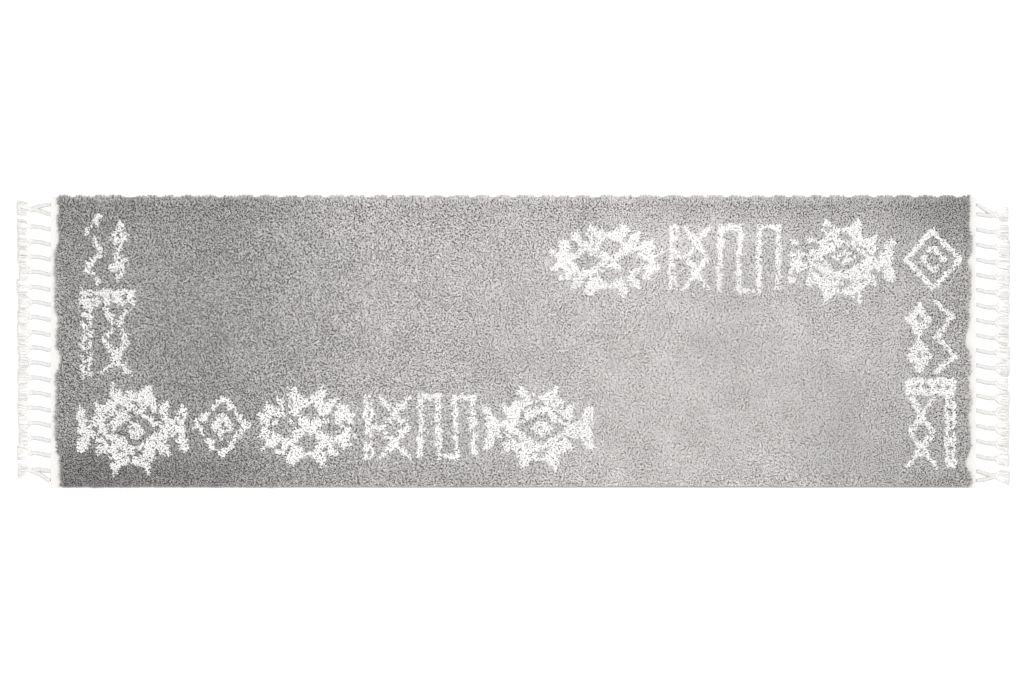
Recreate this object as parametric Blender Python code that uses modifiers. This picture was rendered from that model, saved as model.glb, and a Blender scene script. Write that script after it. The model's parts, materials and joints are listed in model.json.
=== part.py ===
"""A shag runner rug, as the pieces that it is made of.

A woven backing carries cut pile: a grey ground with white motifs set into it. A flat woven band
closes each end, an overcast cord closes each long side, and a row of knotted tassels hangs from
each band on hinges. Units are metres, with +Z up. The rug lies on z = 0 with its middle at the
origin, +X along its length and +Y across it.
"""

from math import cos, pi, radians, sin

import bmesh
import bpy
from mathutils import Matrix, Vector

# The pile field and what carries it
PILE_LENGTH = 2.500
RUG_WIDTH = 0.800  # over both overcast sides
BACKING_THICKNESS = 0.003
PILE_HEIGHT = 0.025  # above the backing
PILE_SHOULDER = 0.005  # rounding where the pile's top meets its sides
SIDE_CORD_DIAMETER = 0.005
BAND_LENGTH = 0.019  # along X, outside the pile
BAND_THICKNESS = 0.006
BAND_ROUNDING = 0.001

# The fringe. A tassel is a cord, a knot and a flared brush, and both corners have a second cord.
TASSELS_PER_END = 18
CORNER_TASSEL_INSET = 0.048  # from the rug's side to the outermost tassel's own cord
SECOND_CORD_INSET = 0.022  # from the rug's side to the second cord of that tassel
CORD_DIAMETER = 0.010
CORD_LENGTH = 0.048
KNOT_LENGTH = 0.014
KNOT_WIDTH = 0.018
KNOT_HEIGHT = 0.014
BRUSH_LENGTH = 0.029
BRUSH_THICKNESS = 0.010
BRUSH_SPACING = 0.0035  # between the ends of neighbouring brushes
TASSEL_DRIFT = 0.009  # how far a tassel's end has swept sideways
CORNER_LEAN = 0.35  # how far a corner tassel leans towards its second cord, as a share of the way
TASSEL_SIDES = 8
ROOT_ROWS = (15, 50)  # degrees from the root's tip to each ring of points on its round end

# The pattern is drawn in squares on point paper that fills the pile field
PAPER_COLUMNS = 250
PAPER_ROWS = 79
STROKE = 1.5  # squares, the width of a drawn line
LADDER_WIDTH = 2.4  # squares, over both rails

GAP = 0.0003  # left between pieces that touch

# Places that follow from the sizes above
FIELD_WIDTH = RUG_WIDTH - 2 * (SIDE_CORD_DIAMETER + GAP)
PILE_BOTTOM = BACKING_THICKNESS + GAP
PILE_TOP = BACKING_THICKNESS + PILE_HEIGHT
BAND_START = PILE_LENGTH / 2 + GAP
BAND_END = BAND_START + BAND_LENGTH
CORD_RADIUS = CORD_DIAMETER / 2
HINGE_X = BAND_END + GAP + CORD_RADIUS
HINGE_Z = KNOT_HEIGHT / 2
TASSEL_PITCH = (RUG_WIDTH - 2 * CORNER_TASSEL_INSET) / (TASSELS_PER_END - 1)
BRUSH_WIDTH = TASSEL_PITCH - BRUSH_SPACING
TASSEL_REACH = CORD_LENGTH + KNOT_LENGTH + BRUSH_LENGTH - CORD_RADIUS  # beyond the hinge
SQUARE = Vector((PILE_LENGTH / PAPER_COLUMNS, FIELD_WIDTH / PAPER_ROWS))


def clear_scene():
    for thing in list(bpy.data.objects):
        bpy.data.objects.remove(thing, do_unlink=True)


def new_collection(name):
    collection = bpy.data.collections.new(name)
    bpy.context.scene.collection.children.link(collection)
    return collection


def yarn(name, colour, roughness=0.95):
    """A matt fibre material."""
    material = bpy.data.materials.new(name)
    material.use_nodes = True
    shader = material.node_tree.nodes["Principled BSDF"]
    shader.inputs["Base Color"].default_value = (*colour, 1)
    shader.inputs["Roughness"].default_value = roughness
    shader.inputs["Metallic"].default_value = 0
    return material


def add_part(name, data, material, location=(0, 0, 0), turn=0.0):
    """Links one sub-part into the rug's collection."""
    part = bpy.data.objects.new(name, data)
    part.location = location
    part.rotation_euler.z = turn
    part.data.materials.clear()
    part.data.materials.append(material)
    rug.objects.link(part)
    return part


def add_helper(thing, collection):
    """Links a shape that only cuts or joins, so it isn't part of the rug."""
    collection.objects.link(thing)
    thing.hide_render = True
    thing.display_type = "WIRE"


# Outlines on the point paper: corner points in squares, anticlockwise about the motif's middle


def four_fold(quadrant, half_x, half_y):
    """A closed outline from a quarter that runs from the +X axis to the +Y axis, in half sizes."""
    right_up = [(x * half_x, y * half_y) for x, y in quadrant]
    left_up = [(-x, y) for x, y in reversed(right_up[:-1])]
    top = right_up + left_up
    bottom = [(-x, -y) for x, y in top[1:-1]]
    return top + bottom


def diamond(half_x, half_y):
    return four_fold([(1, 0), (0, 1)], half_x, half_y)


def star_medallion(half_x, half_y):
    """A stepped diamond with a bar across each end and a pair of horns at the top and bottom."""
    bar = [(0.93, 0), (1, 0.50), (0.82, 0.48), (0.74, 0.16)]
    spike = [(0.62, 0.30), (0.66, 0.62), (0.48, 0.50)]
    horn = [(0.38, 0.66), (0.32, 1), (0.17, 0.80), (0, 0.74)]
    return four_fold(bar + spike + horn, half_x, half_y)


def lozenge_medallion(half_x, half_y):
    """A diamond with forked ends and a saw-toothed edge."""
    fork = [(0.84, 0), (1, 0.28), (0.80, 0.30)]
    teeth = [(0.84, 0.56), (0.62, 0.50), (0.60, 0.76), (0.42, 0.66)]
    horn = [(0.28, 1), (0.16, 0.78), (0, 0.72)]
    return four_fold(fork + teeth + horn, half_x, half_y)


def diamond_pair(half_x, half_y):
    """Two diamonds, one above the other, joined at a narrow neck."""
    neck = STROKE / 3
    right = [(0, -half_y), (half_x, -half_y / 2), (neck, 0), (half_x, half_y / 2)]
    return right + [(-x, -y) for x, y in right]


def stroke(path):
    """The outline of a line drawn along a path, with mitred bends."""
    places = [Vector(place) for place in path]
    runs = [(after - before).normalized() for before, after in zip(places, places[1:])]
    right = []
    left = []
    for place, into, out in zip(places, runs[:1] + runs, runs + runs[-1:]):
        across = Vector((into.y + out.y, -into.x - out.x)) / (1 + into.dot(out)) * STROKE / 2
        right.append(place + across)
        left.append(place - across)
    return right + left[::-1]


def meander(half_x, half_y):
    """Four uprights joined in turn at the top, the bottom and the top."""
    edge_x = half_x - STROKE / 2
    edge_y = half_y - STROKE / 2
    path = []
    for upright in range(4):
        x = edge_x * (2 * upright / 3 - 1)
        going_up = upright % 2 == 0
        path += [(x, -edge_y if going_up else edge_y), (x, edge_y if going_up else -edge_y)]
    return stroke(path)


def ladder_panel(half_x, half_y):
    """A ladder on the left, joined at mid height to a diamond with two arms above and two below."""
    ladder_right = -half_x + LADDER_WIDTH
    arm = (half_x - LADDER_WIDTH / 2 - STROKE / 3, half_y)
    middle = half_x - arm[0]
    waist = (arm[0] * 0.22, half_y * 0.42)
    side = arm[0] * 0.85
    valley = half_y * 0.63
    rung = STROKE / 2
    meets = -side + (side - waist[0]) * rung / waist[1]
    upper_left = [
        (0, valley),
        (-arm[0] + STROKE * 0.8, half_y),
        (-arm[0], half_y),
        (-waist[0], waist[1]),
        (meets, rung),
    ]
    upper_right = [(side, 0), (waist[0], waist[1]), (arm[0], half_y), (arm[0] - STROKE * 0.8, half_y)]
    figure = upper_right + upper_left
    upper = [(middle + x, y) for x, y in figure]
    upper += [(ladder_right, rung), (ladder_right, half_y), (-half_x, half_y)]
    lower = [(x, -y) for x, y in reversed(upper[1:])]
    return upper + lower


def corner_panel(half_x, half_y):
    """A ladder across the top, a ladder down the right side, and a diamond figure hung between."""
    bar_bottom = half_y - LADDER_WIDTH * 2
    rail_left = half_x - LADDER_WIDTH * 1.3
    figure_left = -half_x
    figure_right = rail_left - STROKE
    middle = (figure_left + figure_right) / 2
    reach = figure_right - middle
    waist = reach * 0.22
    centre = (bar_bottom - half_y) / 2
    tall = (bar_bottom + half_y) / 2
    up = centre + tall * 0.42
    down = centre - tall * 0.42
    return [
        (half_x, half_y),
        (-half_x, half_y),
        (-half_x, bar_bottom),
        (middle - reach * 0.8, bar_bottom),
        (middle - waist, up),
        (middle - reach * 0.85, centre),
        (middle - waist, down),
        (figure_left, -half_y),
        (figure_left + STROKE * 0.8, -half_y),
        (middle, centre - tall * 0.63),
        (figure_right - STROKE * 0.8, -half_y),
        (figure_right, -half_y),
        (middle + waist, down),
        (middle + reach * 0.85, centre),
        (middle + waist, up),
        (middle + reach * 0.8, bar_bottom),
        (rail_left, bar_bottom),
        (rail_left, -half_y),
        (half_x, -half_y),
    ]


def mirrored(outline):
    """The outline turned left for right."""
    return [(-x, y) for x, y in reversed(outline)]


# Every motif: its name, its outline, and where its middle lies on the paper, from the rug's middle
MOTIFS = (
    # the row along the back edge, from the middle of the rug to its right end
    ("white_lozenge_medallion_back", lozenge_medallion(15.6, 10.6), (25.5, 22.4)),
    ("white_ladder_panel_back", ladder_panel(6.0, 8.9), (48.5, 23.0)),
    ("white_meander_back", meander(8.8, 9.5), (64.6, 22.7)),
    ("white_star_medallion_back", star_medallion(14.8, 12.0), (89.9, 22.2)),
    ("white_nested_diamond_back", diamond(8.4, 8.9), (114.9, 22.5)),
    # down the right end
    ("white_diamond_pair_right", diamond_pair(3.7, 10.0), (111.2, 1.1)),
    (
        "white_zigzag_right",
        stroke([(-2.4, 10.0), (2.2, 5.6), (-2.0, 0.4), (2.9, -5.0), (-3.1, -10.0)]),
        (118.0, 1.1),
    ),
    ("white_corner_panel_right", corner_panel(7.1, 12.3), (114.0, -22.3)),
    # the row along the front edge, from the left end to the middle of the rug
    ("white_star_medallion_corner", star_medallion(15.5, 13.0), (-104.4, -23.9)),
    ("white_nested_diamond_front", diamond(8.3, 8.95), (-79.8, -23.1)),
    ("white_lozenge_medallion_front", lozenge_medallion(14.2, 11.6), (-56.6, -23.1)),
    ("white_ladder_panel_front", ladder_panel(6.8, 8.9), (-34.0, -23.4)),
    ("white_meander_front", meander(7.9, 9.1), (-18.1, -23.3)),
    ("white_star_medallion_front", star_medallion(15.6, 12.0), (6.9, -23.5)),
    # down the left end
    ("white_diamond_pair_left", diamond_pair(2.7, 8.9), (-108.0, 24.8)),
    (
        "white_zigzag_left",
        stroke([(2.0, 9.3), (-1.8, 4.7), (2.4, -1.1), (-2.2, -5.5), (2.4, -9.2)]),
        (-115.0, 25.6),
    ),
    ("white_corner_panel_left", mirrored(corner_panel(7.4, 12.1)), (-111.0, 2.5)),
)


def on_rug(outline, middle):
    """The outline's corners on the rug, in metres."""
    return [Vector(((middle[0] + x) * SQUARE.x, (middle[1] + y) * SQUARE.y)) for x, y in outline]


def grown(corners, by):
    """The corners moved outwards by one distance all round, with mitred corners."""
    moved = []
    for before, corner, after in zip(corners[-1:] + corners, corners, corners[1:] + corners[:1]):
        into = (corner - before).normalized()
        out = (after - corner).normalized()
        outwards = Vector((into.y + out.y, -into.x - out.x)) / (1 + into.dot(out))
        moved.append(corner + outwards * by)
    return moved


def flat_outline(name, corners, thickness):
    """A filled curve of this outline, with half of its thickness above and half below."""
    curve = bpy.data.curves.new(name, "CURVE")
    curve.dimensions = "2D"
    curve.fill_mode = "BOTH"
    curve.extrude = thickness / 2
    spline = curve.splines.new("POLY")
    spline.points.add(len(corners) - 1)
    for point, corner in zip(spline.points, corners):
        point.co = (corner.x, corner.y, 0, 1)
    spline.use_cyclic_u = True
    return curve


def cutter_from(name, curve, height):
    """A mesh cutter made from a filled curve, with its caps welded."""
    drawn = bpy.data.objects.new(name, curve)
    drawn.location.z = height
    cutters.objects.link(drawn)
    bpy.context.view_layer.update()
    evaluated = drawn.evaluated_get(bpy.context.evaluated_depsgraph_get())
    mesh = bpy.data.meshes.new_from_object(evaluated)
    shape = bmesh.new()
    shape.from_mesh(mesh)
    bmesh.ops.remove_doubles(shape, verts=shape.verts, dist=1e-6)
    shape.to_mesh(mesh)
    shape.free()
    cutter = bpy.data.objects.new(name, mesh)
    cutter.matrix_world = drawn.matrix_world
    bpy.data.objects.remove(drawn)
    add_helper(cutter, cutters)


def block_mesh(name, size_x, size_y, size_z):
    """A box centred on its own origin."""
    mesh = bpy.data.meshes.new(name)
    shape = bmesh.new()
    bmesh.ops.create_cube(shape, size=1, matrix=Matrix.Diagonal((size_x, size_y, size_z, 1)))
    shape.to_mesh(mesh)
    shape.free()
    return mesh


def bevel(part, width, segments=2):
    modifier = part.modifiers.new("rounded edges", "BEVEL")
    modifier.width = width
    modifier.segments = segments


def add_backing():
    mesh = block_mesh("woven_backing", PILE_LENGTH, FIELD_WIDTH, BACKING_THICKNESS)
    add_part("woven_backing", mesh, jute, (0, 0, BACKING_THICKNESS / 2))


def add_side_cord(name, side):
    """The overcast cord that closes one long side."""
    curve = bpy.data.curves.new(name, "CURVE")
    curve.dimensions = "3D"
    curve.bevel_depth = SIDE_CORD_DIAMETER / 2
    curve.bevel_resolution = 2
    curve.use_fill_caps = True
    spline = curve.splines.new("POLY")
    spline.points.add(1)
    for point, end in zip(spline.points, (-1, 1)):
        point.co = (end * PILE_LENGTH / 2, 0, 0, 1)
    y = side * (RUG_WIDTH - SIDE_CORD_DIAMETER) / 2
    add_part(name, curve, overcast_thread, (0, y, SIDE_CORD_DIAMETER / 2))


def add_grey_pile():
    """The ground pile: a slab with rounded shoulders and a pocket for each white motif."""
    height = PILE_TOP - PILE_BOTTOM
    mesh = block_mesh("grey_pile", PILE_LENGTH, FIELD_WIDTH, height)
    pile = add_part("grey_pile", mesh, grey_yarn, (0, 0, PILE_BOTTOM + height / 2))
    bevel(pile, PILE_SHOULDER)
    pockets = pile.modifiers.new("motif pockets", "BOOLEAN")
    pockets.operand_type = "COLLECTION"
    pockets.collection = cutters
    pockets.operation = "DIFFERENCE"
    pockets.solver = "EXACT"


def add_motif(name, corners):
    """One white motif, standing in its pocket through the full height of the pile."""
    height = PILE_TOP - PILE_BOTTOM
    middle = PILE_BOTTOM + height / 2
    add_part(name, flat_outline(name, corners, height), white_yarn, (0, 0, middle))
    pocket = flat_outline(name + "_pocket", grown(corners, GAP), 2 * height)
    cutter_from(name + "_pocket", pocket, middle)


def add_end_band(name, side):
    """The flat woven band at one end."""
    mesh = block_mesh(name, BAND_LENGTH, RUG_WIDTH, BAND_THICKNESS)
    middle = side * (BAND_START + BAND_LENGTH / 2)
    band = add_part(name, mesh, band_cotton, (middle, 0, BAND_THICKNESS / 2))
    bevel(band, BAND_ROUNDING, segments=1)


def loft(name, sections):
    """A closed body through ellipses that stand across X: each (x, y, half width, half height)."""
    shape = bmesh.new()
    rings = []
    for x, y, half_width, half_height in sections:
        upright = Matrix.Rotation(pi / 2, 4, "Y")
        stretch = Matrix.Diagonal((1, half_width, half_height, 1))
        place = Matrix.Translation((x, y, 0)) @ stretch @ upright
        made = bmesh.ops.create_circle(shape, radius=1, segments=TASSEL_SIDES, matrix=place)
        rings.append({edge for vertex in made["verts"] for edge in vertex.link_edges})
    for ring, following in zip(rings, rings[1:]):
        bmesh.ops.bridge_loops(shape, edges=list(ring | following))
    for ring in (rings[0], rings[-1]):
        bmesh.ops.contextual_create(shape, geom=list(ring))
    bmesh.ops.recalc_face_normals(shape, faces=shape.faces)
    mesh = bpy.data.meshes.new(name)
    shape.to_mesh(mesh)
    shape.free()
    return mesh


def round_root(y):
    """Sections of a cord's round end, whose middle is on the hinge axis so that it turns in place."""
    return [
        (-CORD_RADIUS * cos(angle), y, CORD_RADIUS * sin(angle), CORD_RADIUS * sin(angle))
        for angle in map(radians, ROOT_ROWS)
    ]


def tassel_mesh(name, end_y):
    """Cord, knot and brush, along +X from the hinge, ending sideways at end_y."""
    knot_start = CORD_LENGTH - CORD_RADIUS
    knot_end = knot_start + KNOT_LENGTH
    stations = [
        (0, CORD_DIAMETER, CORD_DIAMETER),
        (knot_start, CORD_DIAMETER, CORD_DIAMETER),
        (knot_start + KNOT_LENGTH * 0.3, KNOT_WIDTH, KNOT_HEIGHT),
        (knot_start + KNOT_LENGTH * 0.7, KNOT_WIDTH, KNOT_HEIGHT),
        (knot_end, KNOT_WIDTH * 0.8, KNOT_HEIGHT * 0.8),
        (knot_end + BRUSH_LENGTH * 0.6, BRUSH_WIDTH * 0.9, BRUSH_THICKNESS),
        (TASSEL_REACH, BRUSH_WIDTH, BRUSH_THICKNESS * 0.8),
    ]
    body = [
        (x, end_y * x / TASSEL_REACH, width / 2, height / 2) for x, width, height in stations
    ]
    return loft(name, round_root(0) + body)


def second_cord_mesh(name, root_y, knot_y):
    """The extra cord of a corner tassel, from its own root into the tassel's knot."""
    knot_middle = CORD_LENGTH - CORD_RADIUS + KNOT_LENGTH / 2
    end_radius = CORD_RADIUS * 0.9
    body = [
        (0, root_y, CORD_RADIUS, CORD_RADIUS),
        (knot_middle, knot_y, end_radius, end_radius),
    ]
    return loft(name, round_root(root_y) + body)


def add_tassel(end_name, side, number):
    """One tassel with its origin on its hinge axis, at its cord's root."""
    name = f"tassel_{end_name}_{number + 1:02d}"
    across = number * TASSEL_PITCH - (TASSELS_PER_END - 1) * TASSEL_PITCH / 2
    corner = (number == TASSELS_PER_END - 1) - (number == 0)
    second_root = corner * (CORNER_TASSEL_INSET - SECOND_CORD_INSET)
    lean = second_root * CORNER_LEAN - TASSEL_DRIFT
    tassel = add_part(
        name,
        tassel_mesh(name, lean),
        fringe_cotton,
        (side * HINGE_X, side * across, HINGE_Z),
        turn=0.0 if side > 0 else pi,
    )
    if corner:
        knot_y = lean * (CORD_LENGTH + KNOT_LENGTH / 2) / TASSEL_REACH
        cord_name = name + "_second_cord"
        cord = bpy.data.objects.new(cord_name, second_cord_mesh(cord_name, second_root, knot_y))
        cord.location = tassel.location
        cord.rotation_euler = tassel.rotation_euler
        add_helper(cord, joined)
        union = tassel.modifiers.new("second cord", "BOOLEAN")
        union.operation = "UNION"
        union.solver = "EXACT"
        union.object = cord


clear_scene()
rug = new_collection("runner_rug")
cutters = new_collection("pocket_cutters")
cutters.hide_render = True
joined = new_collection("joined_cords")
joined.hide_render = True

jute = yarn("backing jute", (0.62, 0.58, 0.52))
grey_yarn = yarn("grey pile yarn", (0.36, 0.35, 0.345))
white_yarn = yarn("white pile yarn", (0.83, 0.82, 0.80))
band_cotton = yarn("band cotton", (0.84, 0.82, 0.78))
overcast_thread = yarn("overcast thread", (0.40, 0.39, 0.385))
fringe_cotton = yarn("fringe cotton", (0.85, 0.83, 0.79))

add_backing()
for motif_name, motif_outline, motif_middle in MOTIFS:
    add_motif(motif_name, on_rug(motif_outline, motif_middle))
add_grey_pile()
for side_name, rug_side in (("front", -1), ("back", 1)):
    add_side_cord(f"overcast_edge_{side_name}", rug_side)
for rug_end, end_side in (("left", -1), ("right", 1)):
    add_end_band(f"end_band_{rug_end}", end_side)
    for tassel_number in range(TASSELS_PER_END):
        add_tassel(rug_end, end_side, tassel_number)
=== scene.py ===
"""Runner rug: grey shag pile with white motifs, woven end bands, overcast sides and a knotted fringe.

Every length is in metres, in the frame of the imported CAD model: the rug lies along X, left is -X,
the lower edge of the picture is -Y and the floor is z = 0.
"""

import json
import math

import bpy
import numpy as np
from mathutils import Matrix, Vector


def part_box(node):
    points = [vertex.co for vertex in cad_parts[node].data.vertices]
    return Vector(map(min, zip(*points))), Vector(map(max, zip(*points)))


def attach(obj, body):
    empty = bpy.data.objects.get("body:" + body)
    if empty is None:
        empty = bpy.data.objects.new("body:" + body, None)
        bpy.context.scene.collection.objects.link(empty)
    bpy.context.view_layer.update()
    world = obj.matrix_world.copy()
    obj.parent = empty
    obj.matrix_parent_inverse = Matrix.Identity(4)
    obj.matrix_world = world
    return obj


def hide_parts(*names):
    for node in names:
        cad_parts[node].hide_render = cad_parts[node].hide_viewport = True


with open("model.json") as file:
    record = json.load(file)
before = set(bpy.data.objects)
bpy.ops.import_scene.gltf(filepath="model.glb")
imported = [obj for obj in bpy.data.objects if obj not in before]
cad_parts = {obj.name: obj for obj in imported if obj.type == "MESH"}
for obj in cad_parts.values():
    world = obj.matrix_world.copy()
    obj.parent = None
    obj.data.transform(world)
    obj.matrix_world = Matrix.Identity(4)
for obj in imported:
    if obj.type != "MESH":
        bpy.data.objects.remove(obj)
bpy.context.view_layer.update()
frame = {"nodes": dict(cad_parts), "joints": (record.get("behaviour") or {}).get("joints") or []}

PILE_LOW, PILE_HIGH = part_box("grey_pile")
WHITE_NODES = sorted(n for n in frame["nodes"] if n.startswith("white_"))

SQUARE = 0.01  # the motifs are drawn on a grid of 10 mm squares
STROKE_EDGE = 0.0010  # how far the white stays inside its outline, before the tufts spread it
TUFT_PITCH = 0.0032  # from one tuft to the next
TUFT_MARGIN = 0.0018  # from the outermost tufts to the side of the pile
TUFT_SIDES = 3
TUFT_RADII = (0.0015, 0.0022, 0.0021)  # at the root, halfway and at the tip
TUFT_LEVELS = (0.0, 0.52, 0.93)  # the height of those three rings, as shares of the tuft
TUFT_BEND = (0.0, 0.30, 0.92)  # and how much of its lean each has
GREY_DEPTH_SHADE = (0.80, 0.95, 1.02)  # painted shade: the yarn is painted darker down in the pile, where less light reaches
# painted shade for the white yarn, only a little darker down in the pile
WHITE_DEPTH_SHADE = (0.98, 1.00, 1.02)
CLUMP_PITCH = 0.0052  # tufts gather in clumps about this far across
STRIPS = 16  # the grey pile is cut into this many pieces, from left to right
PAST_ENDS = 0.0075  # how far tuft tips may reach past the pile's box
PAST_FRONT = 0.0030
PAST_BACK = 0.0105

# Grey parts inside the white motifs, in squares from the motif's middle: (form, x, y, ...).
# lozenge: half width, half height. ring: those, and the white core's. dashes: a broken ring.
# box: half width, half height. wedge: a triangle pointing down from (x, y), half width and depth.
# cut: a stroke to (x, y), and its width. row: a box, the step (x, y) to the next, and how many.
# A form ending in 4 is mirrored both ways.
ISLANDS = {
    "white_lozenge_medallion_back": [
        ("lozenge", 1.0, 3.7, 3.6, 2.7),
        ("lozenge", -5.5, -0.2, 4.4, 2.6),
        ("lozenge", 6.9, -0.4, 4.6, 2.7),
        ("lozenge", 0.9, -4.0, 3.8, 2.6),
        ("cut4", 6.4, 7.3, 4.9, 5.1, 1.2),
        ("cut4", 9.8, 5.7, 8.2, 4.2, 1.2),
    ],
    "white_lozenge_medallion_front": [
        ("lozenge", 1.0, 3.7, 3.0, 2.7),
        ("lozenge", -6.4, -0.4, 3.9, 2.8),
        ("lozenge", 6.7, -0.9, 3.5, 2.9),
        ("lozenge", 0.6, -4.7, 3.9, 2.8),
        ("cut4", 5.9, 8.0, 4.6, 5.8, 1.1),
        ("cut4", 8.8, 6.2, 7.3, 4.6, 1.1),
    ],
    "white_star_medallion_back": [
        ("ring", 0.7, 0.9, 6.0, 4.2, 3.6, 1.9),
        ("lozenge", 0.5, 1.1, 0.9, 0.7),
        ("lozenge", 0.4, 6.9, 1.6, 1.3),
        ("lozenge", 9.7, 1.7, 1.1, 1.4),
        ("lozenge", 8.6, -2.9, 1.3, 1.0),
        ("lozenge", -9.4, -3.4, 1.0, 1.5),
        ("lozenge", -12.6, -3.3, 0.8, 1.0),
        ("lozenge", -9.3, 3.1, 1.0, 1.3),
        ("lozenge", -0.5, -7.2, 1.2, 1.0),
        ("dashes", 0.0, 0.0, 10.6, 8.2, 9.2, 7.0),
    ],
    "white_star_medallion_corner": [
        ("ring", 1.05, -0.4, 6.0, 4.9, 3.0, 2.3),
        ("lozenge", 0.7, -0.4, 0.9, 0.8),
        ("lozenge", -5.9, 4.2, 1.3, 1.1),
        ("lozenge", 7.2, 3.6, 1.2, 1.0),
        ("lozenge", -11.6, 3.9, 1.1, 1.1),
        ("lozenge", 1.6, -6.2, 1.5, 1.1),
        ("lozenge", -8.4, -4.0, 1.2, 1.0),
        ("lozenge", 10.2, -2.6, 1.0, 1.4),
        ("dashes", 0.0, 0.0, 11.0, 8.8, 9.6, 7.5),
    ],
    "white_star_medallion_front": [
        ("ring", 0.75, -0.3, 6.7, 4.7, 3.2, 2.1),
        ("lozenge", 0.4, -0.2, 0.9, 0.7),
        ("lozenge", 0.2, 6.6, 1.4, 1.1),
        ("lozenge", 9.9, 2.2, 1.1, 1.3),
        ("lozenge", -9.6, 2.8, 1.1, 1.2),
        ("lozenge", -8.8, -3.3, 1.3, 1.0),
        ("lozenge", 9.2, -3.4, 1.2, 1.1),
        ("lozenge", 0.8, -6.9, 1.3, 1.0),
        ("dashes", 0.0, 0.0, 11.0, 8.2, 9.6, 7.0),
    ],
    "white_nested_diamond_back": [
        ("ring", 0.0, 0.0, 6.4, 6.9, 3.7, 4.0),
        ("lozenge", 0.0, 0.0, 2.3, 2.5),
    ],
    "white_nested_diamond_front": [
        ("ring", 0.0, 0.0, 6.3, 6.9, 3.2, 4.0),
        ("lozenge", 0.3, 0.1, 0.8, 0.9),
    ],
    "white_ladder_panel_back": [
        ("row", -4.45, 7.0, 0.45, 1.15, 0.0, -3.5, 5),
        ("lozenge", 1.7, 0.1, 2.5, 2.5),
    ],
    "white_ladder_panel_front": [
        ("row", -5.35, 7.0, 0.42, 1.15, 0.0, -3.5, 5),
        ("lozenge", 1.7, 0.0, 2.8, 2.5),
    ],
    "white_corner_panel_right": [
        ("row", -4.2, 9.9, 0.95, 0.42, 3.0, 0.0, 4),
        ("row", 5.55, 6.2, 0.45, 1.0, 0.0, -3.1, 6),
        ("box", -1.9, 7.45, 5.7, 0.42),
        ("wedge", -2.3, 7.4, 2.5, 4.2),
        ("lozenge", -2.25, -2.3, 2.5, 2.7),
    ],
    "white_corner_panel_left": [
        ("row", 4.2, 9.8, 0.95, 0.42, -3.0, 0.0, 4),
        ("row", -5.85, 6.2, 0.45, 1.0, 0.0, -3.1, 6),
        ("box", 1.9, 7.4, 5.7, 0.42),
        ("wedge", 2.3, 7.35, 2.5, 4.2),
        ("lozenge", 2.25, -2.3, 2.5, 2.7),
    ],
    "white_diamond_pair_right": [
        ("lozenge", 0.1, 5.0, 1.2, 1.4),
        ("lozenge", 0.0, -4.6, 0.8, 0.9),
    ],
    "white_diamond_pair_left": [
        ("lozenge", 0.0, 4.8, 0.8, 1.0),
        ("lozenge", 0.2, -4.6, 0.7, 0.8),
    ],
}


# ---------------------------------------------------------------- noise


def lattice(ix, iy, seed):
    """A repeatable number from -1 to 1 for each whole-number place."""
    n = (ix * 374761393 + iy * 668265263 + seed * 974634777) & 0xFFFFFFFF
    n = ((n ^ (n >> 13)) * 1274126177) & 0xFFFFFFFF
    return ((n ^ (n >> 16)) & 0xFFFF) / 32767.5 - 1


def noise(x, y, cell, seed):
    """Smooth noise from -1 to 1 with features about one cell across."""
    gx, gy = x / cell, y / cell
    ix, iy = np.floor(gx).astype(np.int64), np.floor(gy).astype(np.int64)
    fx, fy = gx - ix, gy - iy
    fx, fy = fx * fx * (3 - 2 * fx), fy * fy * (3 - 2 * fy)
    low = lattice(ix, iy, seed) * (1 - fx) + lattice(ix + 1, iy, seed) * fx
    high = lattice(ix, iy + 1, seed) * (1 - fx) + lattice(ix + 1, iy + 1, seed) * fx
    return low * (1 - fy) + high * fy


def smoothstep(low, high, x):
    """0 up to low and 1 from high, with a smooth slope between."""
    t = np.clip((x - low) / (high - low), 0, 1)
    return t * t * (3 - 2 * t)


def clump_middle(x, y, pitch, seed):
    """The middle of the nearest clump of tufts, and that clump's own number."""
    ix, iy = np.floor(x / pitch).astype(np.int64), np.floor(y / pitch).astype(np.int64)
    best = np.full(x.shape, 1e9)
    mx, my, tone = x.copy(), y.copy(), np.zeros_like(x)
    for dx in (-1, 0, 1):
        for dy in (-1, 0, 1):
            cx = (ix + dx + 0.5 + 0.42 * lattice(ix + dx, iy + dy, seed)) * pitch
            cy = (iy + dy + 0.5 + 0.42 * lattice(ix + dx, iy + dy, seed + 1)) * pitch
            far = np.hypot(cx - x, cy - y)
            near = far < best
            best = np.where(near, far, best)
            mx, my = np.where(near, cx, mx), np.where(near, cy, my)
            tone = np.where(near, lattice(ix + dx, iy + dy, seed + 2), tone)
    return mx, my, tone


# ---------------------------------------------------------------- meshes


def new_piece(name, points, loops, sizes, uvs, shades, finish):
    """A smooth object from faces of the given sizes, with its OFBake map and its shades."""
    mesh = bpy.data.meshes.new(name)
    mesh.vertices.add(len(points))
    mesh.vertices.foreach_set("co", points.astype(np.float32).ravel())
    mesh.loops.add(len(loops))
    mesh.loops.foreach_set("vertex_index", loops.astype(np.int32))
    mesh.polygons.add(len(sizes))
    starts = np.concatenate([[0], np.cumsum(sizes)[:-1]]).astype(np.int32)
    mesh.polygons.foreach_set("loop_start", starts)
    mesh.polygons.foreach_set("use_smooth", np.ones(len(sizes), bool))
    mesh.update(calc_edges=True)
    layer = mesh.uv_layers.new(name="OFBake")
    layer.data.foreach_set("uv", uvs.astype(np.float32).ravel())
    attribute = mesh.attributes.new("shade", "FLOAT", "POINT")
    attribute.data.foreach_set("value", shades.astype(np.float32).ravel())
    mesh.materials.append(finish)
    thing = bpy.data.objects.new(name, mesh)
    bpy.context.scene.collection.objects.link(thing)
    return thing


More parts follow.
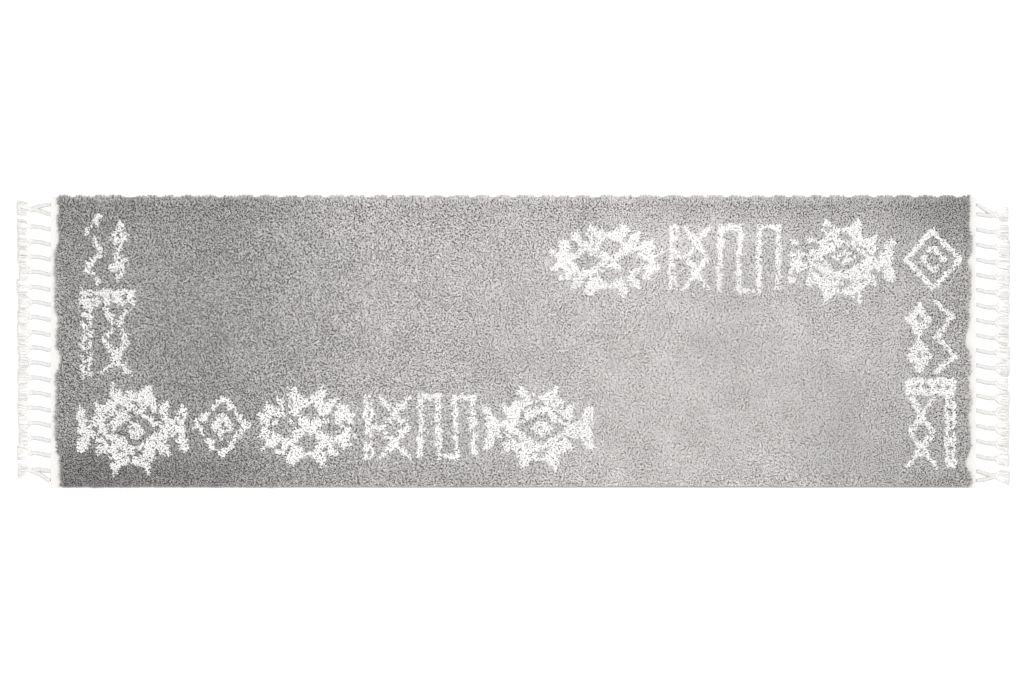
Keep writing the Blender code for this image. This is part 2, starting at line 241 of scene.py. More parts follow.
class Yarns:
    """Many tubes gathered into one mesh. Each tube has its own cells on the OFBake map."""

    def __init__(self):
        self.points, self.loops, self.sizes, self.uvs, self.shades = [], [], [], [], []
        self.count = 0

    def add(
        self,
        centres,
        radii,
        sides,
        shade,
        across=(0.0, 1.0, 0.0),
        region=(0, 0, 1, 1),
        tip=True,
        root=True,
        rows=1,
    ):
        """n tubes of k rings, with centres (n, k, 3) and radii (n, k).

        shade is (n, k), or (n,) for tubes of one shade. across is about where the first side of
        each tube faces, tip and root are its pointed ends, region is the part of the map that the
        tubes take, and rows is how many times a long tube without pointed ends is folded there.
        """
        n, k, _ = centres.shape
        along = np.gradient(centres, axis=1)
        along /= np.maximum(np.linalg.norm(along, axis=2, keepdims=True), 1e-9)
        across = np.broadcast_to(across, (n, 3))
        up = np.cross(along, across[:, None, :])
        up /= np.maximum(np.linalg.norm(up, axis=2, keepdims=True), 1e-9)
        side = np.cross(up, along)
        turn = np.arange(sides) * 2 * math.pi / sides
        ring = (
            centres[:, :, None, :]
            + radii[:, :, None, None] * np.cos(turn)[None, None, :, None] * side[:, :, None, :]
            + radii[:, :, None, None] * np.sin(turn)[None, None, :, None] * up[:, :, None, :]
        )
        points = ring.reshape(n, k * sides, 3)
        ends = []  # the pointed ends: (first point of its ring, its point, whether at the root)
        if tip:
            end = centres[:, -1] + along[:, -1] * radii[:, -1, None] * 0.9
            ends.append(((k - 1) * sides, points.shape[1], False))
            points = np.concatenate([points, end[:, None]], axis=1)
        if root:
            start = centres[:, 0] - along[:, 0] * radii[:, 0, None] * 0.6
            ends.append((0, points.shape[1], True))
            points = np.concatenate([points, start[:, None]], axis=1)
        per = points.shape[1]
        base = self.count + np.arange(n)[:, None, None] * per
        s = np.arange(sides)
        t = (s + 1) % sides
        r = np.arange(k - 1)[:, None] * sides
        quads = np.stack([r + s, r + t, r + sides + t, r + sides + s], axis=-1)
        self.loops.append((quads.reshape(1, -1, 4) + base).reshape(-1))
        self.sizes.append(np.full(n * (k - 1) * sides, 4))

        # the map: one cell for each tube and fold, with a pad round it. In a cell that isn't
        # folded the tube's sides run across and its length runs up, between the pointed ends
        per_row = math.ceil((k - 1) / rows)
        u0, v0, u1, v1 = region
        columns = max(1, round(math.sqrt(n * (u1 - u0) / (v1 - v0)))) if rows == 1 else 1
        lines = math.ceil(n * rows / columns)
        pad, low_end, high_end = 0.06, 0.07, 0.93

        def on_map(cell, u, v):
            u = (cell % columns + pad + (1 - 2 * pad) * u) / columns
            v = (cell // columns + pad + (1 - 2 * pad) * v) / lines
            return np.stack([u0 + (u1 - u0) * u, v0 + (v1 - v0) * v], axis=-1).reshape(-1, 2)

        seg = np.arange(k - 1)
        cell = np.arange(n)[:, None] * rows + seg[None, :] // per_row
        fold = (seg % per_row)[None, :, None, None]
        near_side, far_side = np.array([0, 1, 1, 0]), np.array([0, 0, 1, 1])
        round_it = (s[None, None, :, None] + near_side) / sides + 0 * fold
        along_it = (fold + far_side) / per_row + 0 * s[None, None, :, None]
        if rows > 1:
            self.uvs.append(on_map(cell[:, :, None, None], along_it, round_it))
        else:
            along_it = along_it * (high_end - low_end) + low_end
            self.uvs.append(on_map(cell[:, :, None, None], round_it, along_it))
        for ring_start, point, at_root in ends:
            first, second = (t, s) if at_root else (s, t)
            tri = np.stack([ring_start + first, ring_start + second, np.full(sides, point)], axis=-1)
            self.loops.append((tri.reshape(1, -1) + base[:, :, 0]).reshape(-1))
            self.sizes.append(np.full(n * sides, 3))
            edge, far = (low_end, 0.0) if at_root else (high_end, 1.0)
            round_tri = np.stack([s, s + 1, s + 0.5], axis=-1) / sides
            along_tri = np.tile((edge, edge, far), (sides, 1))
            if at_root:
                round_tri = round_tri[:, [1, 0, 2]]
            self.uvs.append(on_map(cell[:, 0, None, None], round_tri, along_tri))

        if shade.ndim == 1:
            shade = np.repeat(shade[:, None], k, axis=1)
        shades = np.repeat(shade[:, :, None], sides, axis=2).reshape(n, -1)
        for _, _, at_root in ends:
            shades = np.concatenate([shades, shade[:, :1] if at_root else shade[:, -1:]], axis=1)
        self.shades.append(shades.reshape(-1))
        self.points.append(points.reshape(-1, 3))
        self.count += n * per

    def build(self, name, finish):
        """One piece of all the tubes so far."""
        parts = (self.points, self.loops, self.sizes, self.uvs, self.shades)
        return new_piece(name, *(np.concatenate(part) for part in parts), finish)


# ---------------------------------------------------------------- materials


def material(name):
    """A new material, its node tree and its shader."""
    m = bpy.data.materials.new(name)
    m.use_nodes = True
    tree = m.node_tree
    return m, tree, tree.nodes["Principled BSDF"]


def yarn(name, colour, fibre=(900.0, 0.10), bump=0.0):
    """Matt yarn: its colour times each strand's shade, which holds both its own tone and painted
    shade, with a fine fibre mottle.

    fibre is the mottle's scale and strength, and bump is how much it stands out.
    """
    m, tree, shader = material(name)
    shader.inputs["Roughness"].default_value = 0.92
    shader.inputs["Sheen Weight"].default_value = 0.2
    shader.inputs["Sheen Roughness"].default_value = 0.6
    shader.inputs["Specular IOR Level"].default_value = 0.25
    place = tree.nodes.new("ShaderNodeTexCoord")
    mottle = tree.nodes.new("ShaderNodeTexNoise")
    mottle.inputs["Scale"].default_value = fibre[0]
    mottle.inputs["Detail"].default_value = 2.0
    tree.links.new(place.outputs["Object"], mottle.inputs["Vector"])
    spread = tree.nodes.new("ShaderNodeMapRange")
    spread.inputs["To Min"].default_value = 1 - fibre[1]
    spread.inputs["To Max"].default_value = 1 + fibre[1]
    tree.links.new(mottle.outputs["Fac"], spread.inputs["Value"])
    shade = tree.nodes.new("ShaderNodeAttribute")
    shade.attribute_name = "shade"
    both = tree.nodes.new("ShaderNodeMath")
    both.operation = "MULTIPLY"
    tree.links.new(shade.outputs["Fac"], both.inputs[0])
    tree.links.new(spread.outputs["Result"], both.inputs[1])
    tint = tree.nodes.new("ShaderNodeMix")
    tint.data_type = "RGBA"
    tint.blend_type = "MULTIPLY"
    tint.inputs["Factor"].default_value = 1.0
    tint.inputs["A"].default_value = (*colour, 1)
    tree.links.new(both.outputs["Value"], tint.inputs["B"])
    tree.links.new(tint.outputs["Result"], shader.inputs["Base Color"])
    if bump:
        relief = tree.nodes.new("ShaderNodeBump")
        relief.inputs["Strength"].default_value = bump
        relief.inputs["Distance"].default_value = 0.0006
        tree.links.new(mottle.outputs["Fac"], relief.inputs["Height"])
        tree.links.new(relief.outputs["Normal"], shader.inputs["Normal"])
    return m


grey_yarn = yarn("grey_pile_yarn", (0.660, 0.640, 0.635))
white_yarn = yarn("white_pile_yarn", (0.885, 0.878, 0.870))
jute = yarn("backing_jute", (0.50, 0.45, 0.38), fibre=(400.0, 0.2), bump=0.6)
band_yarn = yarn("band_cotton", (0.790, 0.776, 0.758), fibre=(700.0, 0.12), bump=0.5)
overcast_yarn = yarn("overcast_thread", (0.66, 0.640, 0.630), fibre=(700.0, 0.12), bump=0.5)
fringe_yarn = yarn("fringe_cotton", (0.860, 0.846, 0.828), fibre=(800.0, 0.12), bump=0.5)


# ---------------------------------------------------------------- pile


def triangles_under(node):
    """The corners of the flat underside of a motif's CAD solid, as triangles in X and Y."""
    mesh = frame["nodes"][node].data
    mesh.calc_loop_triangles()
    under = [t for t in mesh.loop_triangles if t.normal[2] < -0.9]
    return np.array([[mesh.vertices[v].co[:2] for v in t.vertices] for t in under])


def inside(triangles, x, y):
    """Which of the points lie in any of the triangles."""
    found = np.zeros(x.shape, bool)
    for (ax, ay), (bx, by), (cx, cy) in triangles:
        d1 = (x - bx) * (ay - by) - (ax - bx) * (y - by)
        d2 = (x - cx) * (by - cy) - (bx - cx) * (y - cy)
        d3 = (x - ax) * (cy - ay) - (cx - ax) * (y - ay)
        found |= ((d1 >= 0) & (d2 >= 0) & (d3 >= 0)) | ((d1 <= 0) & (d2 <= 0) & (d3 <= 0))
    return found


def one_island(form, x, y, mx, my, *size):
    """Which of the points, in squares, lie on one grey part."""
    if form == "lozenge":
        return np.abs(x - mx) / size[0] + np.abs(y - my) / size[1] < 1
    if form == "ring":
        core = np.abs(x - mx) / size[2] + np.abs(y - my) / size[3] <= 1
        return one_island("lozenge", x, y, mx, my, *size[:2]) & ~core
    if form == "dashes":
        return one_island("ring", x, y, mx, my, *size) & (noise(x, y, 1.5, 31) > 0.22)
    if form == "box":
        return (np.abs(x - mx) < size[0]) & (np.abs(y - my) < size[1])
    if form == "wedge":
        return (y < my) & (np.abs(x - mx) / size[0] + (my - y) / size[1] < 1)
    if form == "cut":
        dx, dy = size[0] - mx, size[1] - my
        t = np.clip(((x - mx) * dx + (y - my) * dy) / (dx * dx + dy * dy), 0, 1)
        return np.hypot(x - mx - t * dx, y - my - t * dy) < size[2] / 2
    half_x, half_y, step_x, step_y, count = size  # a row of boxes
    found = np.zeros(x.shape, bool)
    for i in range(count):
        found |= one_island("box", x, y, mx + i * step_x, my + i * step_y, half_x, half_y)
    return found


def on_island(node, x, y):
    """Which of the points lie on a motif's grey parts."""
    low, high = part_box(node)
    x = (x - (low.x + high.x) / 2) / SQUARE
    y = (y - (low.y + high.y) / 2) / SQUARE
    found = np.zeros(x.shape, bool)
    for form, *numbers in ISLANDS.get(node, []):
        if form.endswith("4"):
            found |= one_island(form[:-1], np.abs(x), np.abs(y), *numbers)
        else:
            found |= one_island(form, x, y, *numbers)
    return found


def ground_tone_and_painted_shade(x, y):
    """The grey yarn's tone: random patches, with painted shade that darkens it to the left, at the
    right end, along the sides and in corners.
    """
    # painted shade along the rug: darker to the left and at the right end, lighter right of the
    # middle, from how light falls on the pile's lay
    along = [-1.25, -0.80, -0.62, -0.44, -0.26, 0.09, 0.30, 0.63, 0.80, 0.98, 1.16, 1.25]
    painted_shade_along = [0.69, 0.70, 0.81, 0.91, 0.99, 1.00, 1.07, 1.08, 1.03, 0.94, 0.88, 0.80]
    patches = 0.035 * noise(x, 0.2 * y, 0.09, 41) + 0.035 * noise(x, y, 0.05, 42)
    tone = np.interp(x, along, painted_shade_along) * (1 + patches)
    # painted shade along the back and front sides
    back_painted_shade = 0.05 + 0.11 * smoothstep(0.1, 0.5, x)
    front_painted_shade = 0.22 - 0.12 * smoothstep(-0.9, -0.5, x) - 0.10 * smoothstep(-0.2, 0.2, x)
    tone *= 1 - back_painted_shade * smoothstep(0.27, 0.39, y)
    tone *= 1 - front_painted_shade * smoothstep(0.24, 0.37, -y)
    # painted shade in the corners
    corners = (-1.2, -0.38, 0.24), (1.22, 0.36, 0.20), (1.22, -0.38, 0.14), (-1.22, 0.36, 0.10)
    for cx, cy, strength in corners:
        tone *= 1 - strength * np.exp(-(((x - cx) / 0.17) ** 2) - ((y - cy) / 0.13) ** 2)
    return tone


def tousled(x):
    """How open and tousled the pile is: from 1 at the left end to 0 right of the middle."""
    return 1 - smoothstep(-0.95, 0.55, x)


def motif_of(x, y):
    """The number of the white motif under each point, or -1 for the grey ground."""
    owner = np.full(x.shape, -1)
    # grey shows through the medallions along cracks and in spots, and through the lines in gaps
    crack = (np.abs(noise(x, y, 0.022, 18)) < 0.034) | (noise(x, y, 0.013, 19) > 0.58)
    gap = noise(x, y, 0.009, 21) > 0.66 - 0.16 * tousled(x)
    stir = 0.0036 + 0.0032 * tousled(x)
    px = x + stir * noise(x, y, 0.009, 14)
    py = y + stir * noise(x, y, 0.009, 15)
    for number, node in enumerate(WHITE_NODES):
        low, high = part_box(node)
        near = np.flatnonzero((px > low.x) & (px < high.x) & (py > low.y) & (py < high.y))
        hit = ~on_island(node, px[near], py[near])
        triangles = triangles_under(node)
        for dx, dy in ((-STROKE_EDGE, 0), (STROKE_EDGE, 0), (0, -STROKE_EDGE), (0, STROKE_EDGE)):
            hit &= inside(triangles, px[near] + dx, py[near] + dy)
        hit &= ~(crack if "medallion" in node else gap)[near]
        owner[near[hit]] = number
    return owner


def end_wander(x, y):
    """How the border wanders along one end, where x is the same at every point."""
    return noise(x, y, 0.055, 7) + 0.35 * noise(x, y, 0.016, 7)


def lay_tufts():
    """Roots, tips and shades of every tuft, and which motif each belongs to."""
    rng = np.random.default_rng(11)
    low_x, high_x = PILE_LOW.x + TUFT_MARGIN, PILE_HIGH.x - TUFT_MARGIN
    low_y, high_y = PILE_LOW.y + TUFT_MARGIN, PILE_HIGH.y - TUFT_MARGIN
    nx, ny = round((high_x - low_x) / TUFT_PITCH), round((high_y - low_y) / TUFT_PITCH)
    gx, gy = np.meshgrid(np.arange(nx + 1) / nx, np.arange(ny + 1) / ny, indexing="ij")
    x = low_x + gx.ravel() * (high_x - low_x)
    y = low_y + gy.ravel() * (high_y - low_y)
    count = len(x)
    x += rng.uniform(-0.38, 0.38, count) * TUFT_PITCH
    y += rng.uniform(-0.38, 0.38, count) * TUFT_PITCH
    x = np.clip(x, low_x, high_x)
    y = np.clip(y, low_y, high_y)

    # the pile is more open and tousled towards the left end, at the right end and along the sides
    left, right = x - PILE_LOW.x, PILE_HIGH.x - x
    front, back = y - PILE_LOW.y, PILE_HIGH.y - y
    to_side = np.minimum(front, back)
    rough = tousled(x)
    rough = np.maximum(rough, 0.55 * (1 - smoothstep(0.02, 0.16, right)))
    rough = np.maximum(rough, 0.45 * (1 - smoothstep(0.00, 0.07, to_side)))

    # tufts lean in slowly turning directions, and together in clumps. White ones stand straighter
    heading = 0.6 * math.pi + 1.4 * noise(x, y, 0.16, 3) + 0.8 * noise(x, y, 0.05, 4)
    reach = 0.0028 + 0.0016 * noise(x, y, 0.07, 5)
    mx, my, clump_tone = clump_middle(x, y, CLUMP_PITCH, 20)
    owner = motif_of(mx, my)
    white = owner >= 0
    pull = (0.20 + 0.14 * rough) * np.where(white, 0.2, 1)
    lean_x = reach * np.cos(heading) + (mx - x) * pull
    lean_y = reach * np.sin(heading) + (my - y) * pull
    stray = np.where(white, 0.0010, 0.0013) + np.where(white, 0.0010, 0.0012) * rough
    lean_x += rng.normal(0, 1, count) * stray
    lean_y += rng.normal(0, 1, count) * stray

    # at the ends the border wanders over the band and back, along the back it is scalloped,
    # and it is nearly straight along the front, where the overcast edge shows
    at_left, at_right = end_wander(0 * x - 1.3, y), end_wander(0 * x + 1.3, y)
    lean_x -= (0.0030 + 0.0100 * at_left) * np.clip(1 - left / 0.016, 0, 1)
    lean_x += (0.0030 + 0.0100 * at_right) * np.clip(1 - right / 0.016, 0, 1)
    kept = (left > -0.0170 * at_left - 0.0020) & (right > -0.0170 * at_right - 0.0020)
    wave = np.abs(np.sin(math.pi * (x + 0.014 * noise(x, 0 * x, 0.09, 8)) / 0.058))
    scallop = 0.0105 - 0.0135 * (1 - wave) ** 2 + 0.0020 * noise(x, 0 * x, 0.012, 8)
    lean_y += scallop * np.clip(1 - back / 0.024, 0, 1) ** 0.8
    frill = 0.0010 + 0.0030 * np.clip(noise(x, 0 * x, 0.013, 12) - 0.45, 0, 1)
    lean_y -= frill * np.clip(1 - front / 0.014, 0, 1)

    # heights are uneven, with a few short tufts in the grey, and fall off at the sides
    height = (PILE_HIGH.z - PILE_LOW.z) * (
        0.91
        + (0.02 + 0.04 * rough) * rng.uniform(-1, 1, count) * np.where(white, 0.5, 1)
        + (0.028 + 0.062 * rough) * clump_tone * np.where(white, 0.4, 1)
        + 0.03 * noise(x, y, 0.03, 9)
    )
    pit = ~white & (rng.uniform(0, 1, count) < 0.02 + 0.05 * rough)
    height *= np.where(pit, 0.74, 1) * np.where(white, 1.07, 1)
    to_edge = np.minimum(np.minimum(left, right), to_side)
    height *= 1 - 0.20 * np.clip(1 - to_edge / 0.010, 0, 1) ** 2
    length = np.hypot(lean_x, lean_y)
    height = np.sqrt(np.maximum(height**2 - 0.5 * length**2, (0.5 * height) ** 2))

    # tips stay near the rug, so that the sides hold their line
    lean_x = np.clip(x + lean_x, PILE_LOW.x - PAST_ENDS, PILE_HIGH.x + PAST_ENDS) - x
    lean_y = np.clip(y + lean_y, PILE_LOW.y - PAST_FRONT, PILE_HIGH.y + PAST_BACK) - y

    thick = 0.88 + 0.24 * rng.uniform(0, 1, count)
    thick *= np.where(white, 1.20, 1 - 0.04 * rough)
    tone = 1 + (0.04 + 0.11 * rough) * rng.uniform(-1, 1, count)
    tone += (0.06 + 0.18 * rough) * clump_tone
    # painted shade: the white tufts are painted darker towards the right end, to offset the key light
    # that falls brighter there, and towards the left end
    white_painted_shade = 0.06 * smoothstep(0.5, 1.2, x) + 0.08 * (1 - smoothstep(-1.25, -0.3, x))
    white_tone = 1 + (tone - 1) * (0.12 + 0.16 * rough) - white_painted_shade
    shade = np.where(white, white_tone, tone * ground_tone_and_painted_shade(x, y))
    turn = rng.uniform(0, 2 * math.pi, count)
    crook = rng.normal(0, 0.0008, (count, 2))
    found = (x, y, lean_x, lean_y, height, shade, owner, turn, crook, thick)
    return [a[kept] for a in found]


def pile_piece(name, chosen, finish, depth):
    """One piece of pile from the chosen tufts. depth is the painted shade at their three rings,
    darker down in the pile.
    """
    x, y, lean_x, lean_y, height, shade, _, turn, crook, thick = (a[chosen] for a in tufts)
    centres = np.empty((len(x), len(TUFT_LEVELS), 3))
    for k, (level, bend) in enumerate(zip(TUFT_LEVELS, TUFT_BEND)):
        sway = math.sin(math.pi * level)
        centres[:, k, 0] = x + lean_x * bend + crook[:, 0] * sway
        centres[:, k, 1] = y + lean_y * bend + crook[:, 1] * sway
        centres[:, k, 2] = PILE_LOW.z + height * level
    yarns = Yarns()
    yarns.add(
        centres,
        np.array(TUFT_RADII) * thick[:, None],
        TUFT_SIDES,
        shade[:, None] * np.array(depth),
        across=np.stack([np.cos(turn), np.sin(turn), 0 * turn], axis=-1),
        root=False,
    )
    return yarns.build(name, finish)


tufts = lay_tufts()
owner = tufts[6]
pile = []
strip = (tufts[0] - PILE_LOW.x) / (PILE_HIGH.x - PILE_LOW.x) * STRIPS
strip = np.clip(strip.astype(int), 0, STRIPS - 1)
for number in range(STRIPS):
    chosen = (owner < 0) & (strip == number)
    piece = pile_piece(f"grey_pile_{number + 1:02d}", chosen, grey_yarn, GREY_DEPTH_SHADE)
    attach(piece, "rug")
    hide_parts("grey_pile")
    pile.append(piece)
for number, node in enumerate(WHITE_NODES):
    piece = pile_piece("tufts_" + node, owner == number, white_yarn, WHITE_DEPTH_SHADE)
    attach(piece, "rug")
    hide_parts(node)
    pile.append(piece)


# ---------------------------------------------------------------- backing, bands and sides


CAP_STRIP = 0.97  # the share of the map's width that the sides take. The rest is for the caps


def loft_piece(name, rings, rows, shade, finish):
    """A mesh from rings of points (k, m, 3), joined along k, closed across m and capped.

    rows is how many times the long strip is folded on its map.
    """
    k, m, _ = rings.shape
    i, j = np.meshgrid(np.arange(k - 1), np.arange(m), indexing="ij")
    t = (j + 1) % m
    quads = np.stack([i * m + j, i * m + t, (i + 1) * m + t, (i + 1) * m + j], axis=-1)
    per_row = math.ceil((k - 1) / rows)
    u0, u1 = (i % per_row) / per_row, (i % per_row + 1) / per_row
    v0, v1 = ((i // per_row + 0.04 + 0.92 * (j + step) / m) / rows for step in (0, 1))
    corners = [np.stack(corner, -1) for corner in ((u0, v0), (u0, v1), (u1, v1), (u1, v0))]
    uv = np.stack(corners, axis=-2)
    uv[..., 0] = 0.005 + CAP_STRIP * uv[..., 0]
    caps = np.concatenate([np.arange(m)[::-1], (k - 1) * m + np.arange(m)])
    turn = np.arange(m) / m * 2 * math.pi
    cap_uv = np.stack([0.987 + 0.008 * np.cos(turn), 0.5 + 0.008 * np.sin(turn)], -1)
    return new_piece(
        name,
        rings.reshape(-1, 3),
        np.concatenate([quads.ravel(), caps]),
        np.concatenate([np.full(quads.size // 4, 4), [m, m]]),
        np.concatenate([uv.reshape(-1, 2), cap_uv[::-1], cap_uv + (0, 0.1)]),
        shade,
        finish,
    )


def woven_backing():
    """The cloth under the pile, with its ribs on both faces."""
    low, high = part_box("woven_backing")
    rib, skin = 0.0098, 0.0004  # a rib's width, and how far the cloth lies inside its box
    xs = np.linspace(low.x, high.x, 501)
    ys = np.linspace(low.y, high.y, 81)
    across = np.concatenate([ys, ys[::-1]])
    on_top = np.arange(len(across)) < len(ys)
    rings = np.empty((len(xs), len(across), 3))
    for i, x in enumerate(xs):
        ripple = 0.00035 * np.sin(across / rib * math.pi + i * math.pi)
        under = low.z + skin + np.abs(ripple) * 0.8
        rings[i, :, 0] = x
        rings[i, :, 1] = across
        rings[i, :, 2] = np.where(on_top, high.z - skin + ripple, under)
    return loft_piece("backing_cloth", rings, 1, np.ones(rings.shape[:2]), jute)


END_PAINTED_SHADE = {"left": 1.0, "right": 0.97}  # painted shade: the cotton is painted a little darker at the right end, to offset the key light that falls brighter there
BAND_LAP = 0.011  # how far the band's weave runs in under the edge of the pile


def end_band(end, side):
    """A flat woven band: ribs run along it, and the warp passes over and under them."""
    low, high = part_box(f"end_band_{end}")
    ribs, per_rib, pick = 9, 6, 0.0016
    inner = (high.x if side < 0 else low.x) - side * BAND_LAP
    width = high.x - low.x + BAND_LAP
    cords = [j for j in frame["joints"] if j["child"].startswith(f"tassel_{end}")]
    roots = [j["pos_m"][1] for j in cords]
    ys = np.linspace(low.y, high.y, round((high.y - low.y) / pick) + 1)
    s = np.arange(ribs * per_rib + 1) / (ribs * per_rib)
    rib = np.floor(np.clip(s * ribs, 0, ribs - 1e-6))
    relief = np.abs(np.sin(math.pi * s * ribs)) ** 0.7
    crown = 1 - (2 * np.abs(s - 0.5)) ** 6 * 0.5
    under = low.z + 0.0006 * (1 - relief) + (high.z * 0.5) * (s < BAND_LAP / width)
    rings, shades = [], []
    for i, y in enumerate(ys):
        over = 0.5 + 0.5 * np.cos(math.pi * i + math.pi * rib)
        raised = 0.55 + 0.12 * crown + 0.22 * relief + 0.10 * relief * over
        top = low.z + (high.z - low.z) * raised
        near = min(abs(y - r) for r in roots)
        flare = 0.0034 * math.exp(-((near / 0.0075) ** 2))  # each cord draws the edge out
        sx = inner + side * (width * s + flare * s**3)
        level = np.full_like(sx, y)
        upper = np.stack([sx, level, top], -1)
        lower = np.stack([sx[::-1], level, under[::-1]], -1)
        rings.append(np.concatenate([upper, lower]))
        # painted shade: the band is painted darker in the grooves between its ribs and where the warp
        # dips under
        tint = END_PAINTED_SHADE[end] * (0.93 + 0.07 * relief * (0.85 + 0.15 * over))
        shades.append(np.concatenate([tint, tint[::-1]]))
    rings, shades = np.array(rings), np.array(shades)
    if side > 0:  # so that the faces look outwards at both ends
        rings, shades = rings[:, ::-1], shades[:, ::-1]
    return loft_piece(f"woven_band_{end}", rings, 8, shades, band_yarn)


def overcast_edge(where):
    """A cord along one long side, wrapped by the overcasting thread."""
    low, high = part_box(f"overcast_edge_{where}")
    middle_y, middle_z = (low.y + high.y) / 2, (low.z + high.z) / 2
    radius = (high.z - low.z) / 2
    winding, ring_step, sides = 0.0052, 0.0013, 12
    xs = np.linspace(low.x, high.x, round((high.x - low.x) / ring_step) + 1)
    turn = np.arange(sides) * 2 * math.pi / sides
    wave = np.cos(turn[None, :] - 2 * math.pi * xs[:, None] / winding)
    size = radius * (0.90 + 0.10 * wave)
    rings = np.stack(
        [
            np.repeat(xs[:, None], sides, axis=1),
            middle_y + size * np.cos(turn)[None, :],
            middle_z + size * np.sin(turn)[None, :],
        ],
        axis=-1,
    )
    # painted shade: the cord is painted darker where the winding dips in
    shades = 0.80 + 0.20 * (0.5 + 0.5 * wave)
    return loft_piece(f"overcast_cord_{where}", rings, 16, shades, overcast_yarn)


with_rug = list(pile)
backing = woven_backing()
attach(backing, "rug")
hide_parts("woven_backing")
for end, side in (("left", -1), ("right", 1)):
    band = end_band(end, side)
    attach(band, "rug")
    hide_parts(f"end_band_{end}")
    with_rug.append(band)
for where in ("front", "back"):
    cord = overcast_edge(where)
    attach(cord, "rug")
    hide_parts(f"overcast_edge_{where}")
    with_rug.append(cord)


# ---------------------------------------------------------------- fringe

TASSELS = 18  # at each end
CORD_LENGTH = 0.048
CORD_RADIUS = 0.005
CORD_TWIST = 0.021  # the length of one turn of its plies
KNOT_LENGTH = 0.014
TASSEL_REACH = 0.086  # from the cord's root to the end of the brush
BRUSH_START = 0.0100  # half the brush's width where it leaves the knot
BRUSH_HALF = 0.0206  # and at its end
DRIFT = 0.009  # how far the tassels lie over to one side
SECOND_CORD_OFFSET = 0.026  # a corner tassel's second cord, from the first
CORNER_LEAN = 0.35  # how far towards it the tassel leans
ARCH = 0.0040  # how far the cords bow sideways


def twisted_cord(yarns, end, to_world, start_y, centre_y, length, phase, region):
    """Three plies wound round each other, from the rounded root to the knot."""
    rings, plies = 34, 3
    s = np.linspace(0, 1, rings)
    root = CORD_RADIUS * 0.72
    x = -root + (length + root) * s
    taper = np.sqrt(np.clip(1 - (np.minimum(x, 0) / CORD_RADIUS) ** 2, 0.05, 1))
    t = np.clip(x / length, 0, 1)
    y = start_y * (1 - t) + centre_y(t * length)
    sag = -0.0006 * np.sin(math.pi * t)
    offset = CORD_RADIUS * 0.60 * taper
    centres = np.empty((plies, rings, 3))
    for ply in range(plies):
        turn = 2 * math.pi * (x / CORD_TWIST + ply / plies) + phase
        centres[ply] = np.stack([x, y + offset * np.cos(turn), sag + offset * np.sin(turn)], -1)
    radii = np.tile(CORD_RADIUS * 0.64 * taper, (plies, 1))
    # painted shade: the plies are painted darker than the brush of the same cotton, to offset the
    # fuller light they get
    shade = END_PAINTED_SHADE[end] * np.array([0.82, 0.78, 0.80])
    yarns.add(to_world(centres), radii, 8, shade, region=region)


def fringe_tassel(end, side, number, rng):
    """One tassel, built from its cord's root outwards."""
    name = f"tassel_{end}_{number + 1:02d}"
    joint = next(j for j in frame["joints"] if j["child"] == name)
    root = np.array(joint["pos_m"])
    corner = (number == TASSELS - 1) - (number == 0)
    second = corner * SECOND_CORD_OFFSET
    lean = second * CORNER_LEAN - DRIFT

    def to_world(points):
        return root + points * (side, side, 1)

    def centre_y(x):
        bow = ARCH * np.sin(math.pi * np.clip(x / (CORD_LENGTH + KNOT_LENGTH), 0, 1))
        return lean * x / TASSEL_REACH - bow

    yarns = Yarns()
    knot_start = CORD_LENGTH - CORD_RADIUS
    knot_middle = knot_start + KNOT_LENGTH / 2
    for start_y, region in ((0.0, (0, 0, 0.5, 0.25)), (second, (0.5, 0, 1, 0.25)))[: 1 + abs(corner)]:
        phase = rng.uniform(0, 6)
        twisted_cord(yarns, end, to_world, start_y, centre_y, knot_middle, phase, region)

    # the knot: the cord laid over itself
    t = np.linspace(0, 2 * math.pi, 49)
    squeeze = 1 + 0.06 * rng.uniform(-1, 1)
    knot = np.stack(
        [
            knot_middle + 0.00125 * squeeze * (np.cos(t) - 2 * np.cos(2 * t)),
            centre_y(knot_middle) + 0.00205 * (np.sin(t) + 2 * np.sin(2 * t)),
            -0.0036 * np.sin(3 * t) * 0.9,
        ],
        -1,
    )[None]
    thickness = np.full((1, len(t)), 0.0034)
    # painted shade: the knot is painted darker than the brush of the same cotton, to offset the
    # fuller light it gets
    shade = END_PAINTED_SHADE[end] * np.array([0.88])
    region = (0, 0.25, 1, 0.40)
    yarns.add(to_world(knot), thickness, 8, shade, region=region, tip=False, root=False, rows=2)

    # the brush: loose ends that spread and lie down
    strands, rings = 120, 6
    s = np.linspace(0, 1, rings)
    spread = np.linspace(-1, 1, strands)
    spread = spread + rng.normal(0, 0.05, strands)
    lift = rng.uniform(-1, 1, strands)
    x0 = knot_start + KNOT_LENGTH * 0.55
    x1 = TASSEL_REACH + rng.uniform(-0.0020, 0.0040)
    x1 = x1 - np.abs(rng.normal(0, 0.0022, strands)) - 0.0015 * spread**2
    wave = rng.normal(0, 0.0011, (strands, 2))
    centres = np.empty((strands, rings, 3))
    for k, f in enumerate(s):
        bend = math.sin(math.pi * f)
        xk = x0 + (x1 - x0) * f
        half = BRUSH_START + (BRUSH_HALF - BRUSH_START) * f**0.35
        centres[:, k, 0] = xk
        centres[:, k, 1] = centre_y(xk) + np.clip(spread, -1, 1) * half + wave[:, 0] * bend
        zk = (0.0042 - 0.0022 * f) * lift - 0.0042 * f
        centres[:, k, 2] = np.maximum(zk + wave[:, 1] * bend * 0.5, -0.0062)
    radii = np.tile(np.linspace(0.0011, 0.0006, rings), (strands, 1))
    # painted light: the brush is painted a little lighter, to offset the shade in its gaps; the
    # spread between strands is their own tone
    shade = END_PAINTED_SHADE[end] * (1.02 + 0.07 * rng.uniform(-1, 1, strands))
    yarns.add(to_world(centres), radii, 4, shade, region=(0, 0.40, 1, 1))
    piece = yarns.build(f"fringe_{end}_{number + 1:02d}", fringe_yarn)
    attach(piece, name)
    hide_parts(name)
    return piece


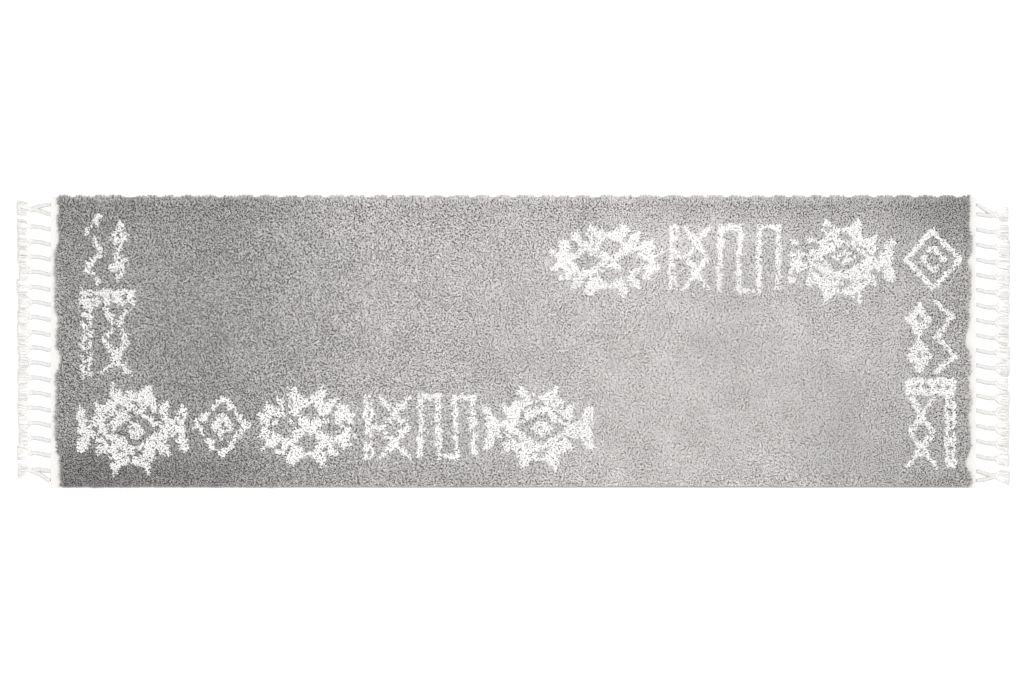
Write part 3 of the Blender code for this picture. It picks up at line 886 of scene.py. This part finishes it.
for end, side in (("left", -1), ("right", 1)):
    rng = np.random.default_rng(5 if side < 0 else 6)
    for number in range(TASSELS):
        with_rug.append(fringe_tassel(end, side, number, rng))


# ---------------------------------------------------------------- camera, light and floor

ACROSS = 2.804  # what the picture takes in from side to side
ABOVE = 0.02  # the height at which it does
FLOOR_HALF = 30

camera = bpy.data.cameras.new("camera")
camera.lens = 110
camera.sensor_width = 36
camera.clip_end = 60
view = bpy.data.objects.new("camera", camera)
bpy.context.scene.collection.objects.link(view)
view.location = (-0.004, 0.0014, ACROSS * camera.lens / camera.sensor_width + ABOVE)
bpy.context.scene.camera = view

floor_mesh = bpy.data.meshes.new("floor")
floor_corners = [(x * FLOOR_HALF, y * FLOOR_HALF, 0) for x, y in ((-1, -1), (1, -1), (1, 1), (-1, 1))]
floor_mesh.from_pydata(floor_corners, [], [(0, 1, 2, 3)])
floor = bpy.data.objects.new("floor", floor_mesh)
floor.location.z = -0.0003
bpy.context.scene.collection.objects.link(floor)
floor_paint, _, shader = material("floor_paint")
shader.inputs["Base Color"].default_value = (0.95, 0.95, 0.95, 1)
shader.inputs["Roughness"].default_value = 0.9
shader.inputs["Specular IOR Level"].default_value = 0.1
floor_mesh.materials.append(floor_paint)

world = bpy.data.worlds.new("studio")
world.use_nodes = True
world.node_tree.nodes["Background"].inputs["Color"].default_value = (1, 1, 1, 1)
world.node_tree.nodes["Background"].inputs["Strength"].default_value = 0.55
bpy.context.scene.world = world
bpy.context.scene.view_settings.view_transform = "Standard"


def soft_box(name, place, size, power):
    """A square area light that looks at the middle of the rug."""
    data = bpy.data.lights.new(name, "AREA")
    data.shape = "SQUARE"
    data.size = size
    data.energy = power
    thing = bpy.data.objects.new(name, data)
    thing.location = place
    thing.rotation_mode = "QUATERNION"
    thing.rotation_quaternion = (-Vector(place)).to_track_quat("-Z", "Y")
    bpy.context.scene.collection.objects.link(thing)


soft_box("key", (1.2, 0.9, 7.0), 3.0, 360)
soft_box("fill", (-1.8, -1.4, 6.5), 4.0, 125)
